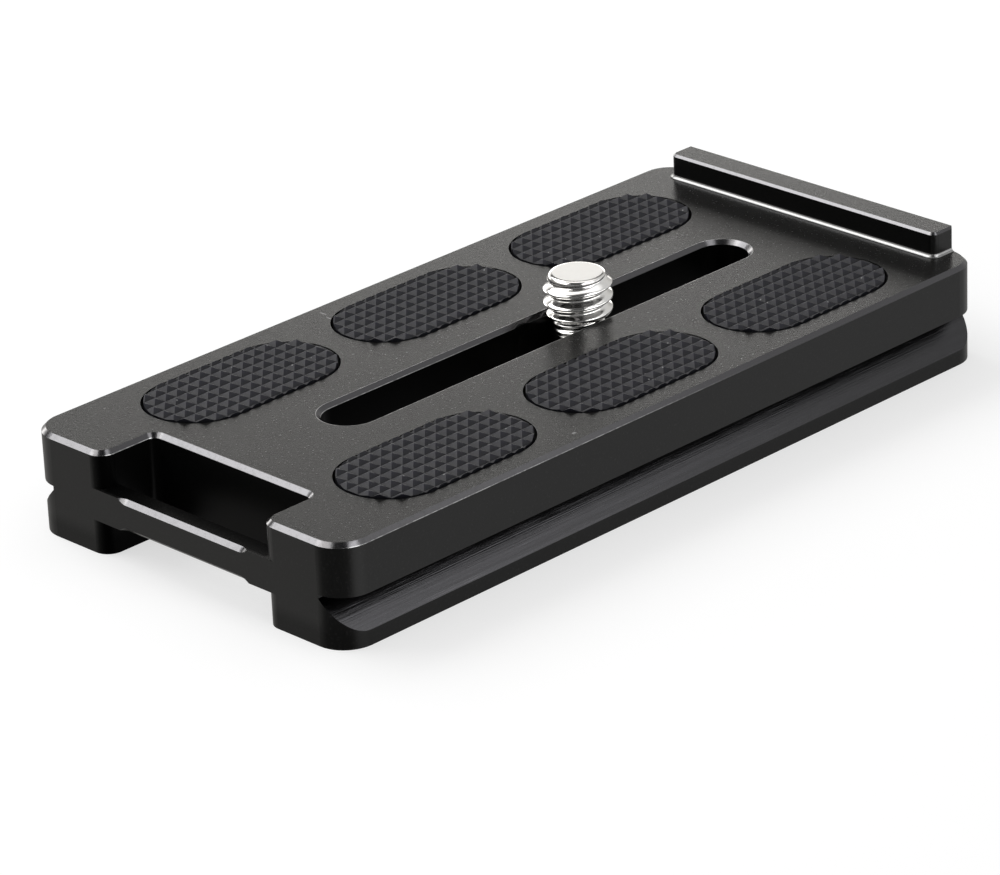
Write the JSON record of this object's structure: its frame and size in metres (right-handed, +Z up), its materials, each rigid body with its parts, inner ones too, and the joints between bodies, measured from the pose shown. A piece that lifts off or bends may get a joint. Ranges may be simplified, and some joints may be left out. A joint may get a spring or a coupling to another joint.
{
  "type": "tripod quick release plate",
  "caption": "Long dovetail camera plate with rubber grip pads, a raised lip, a strap notch and a camera screw that slides in a slot and turns by a folding ring.",
  "frame": {"origin": "middle of the plate's underside, which is the centre of the bottom of its box", "axes": "+X along the plate from the strap notch to the raised lip, +Y across it, +Z up out of the top face"},
  "size_m": [0.08, 0.0386, 0.0135],
  "materials": {
    "plate_metal": "satin black anodised",
    "pad_rubber": "matte moulded rubber",
    "screw_metal": "bright nickel plated",
    "washer_plastic": "plain nylon",
    "ring_steel": "stainless steel",
    "stop_steel": "black oxide"
  },
  "bodies": {
    "plate": {"plate_body": "plate_metal", "grip_pad_1": "pad_rubber", "grip_pad_2": "pad_rubber", "grip_pad_3": "pad_rubber", "grip_pad_4": "pad_rubber", "grip_pad_5": "pad_rubber", "grip_pad_6": "pad_rubber", "stop_screws": "stop_steel"},
    "washer": {"screw_washer": "washer_plastic"},
    "screw": {"camera_screw": "screw_metal"},
    "ring": {"folding_ring": "ring_steel"}
  },
  "joints": [
    {"name": "screw_slide", "type": "slide", "parent": "plate", "child": "washer", "axis": [1, 0, 0], "range_m": [-0.0282, 0.0188]},
    {"name": "screw_spin", "type": "hinge", "parent": "washer", "child": "screw", "pos_m": [0.00769, 0, 0.00415], "axis": [0, 0, 1], "continuous": true},
    {"name": "ring_fold", "type": "hinge", "parent": "screw", "child": "ring", "pos_m": [0.00769, 0, 0.00145], "axis": [0, -1, 0], "range_deg": [0, 180]}
  ]
}
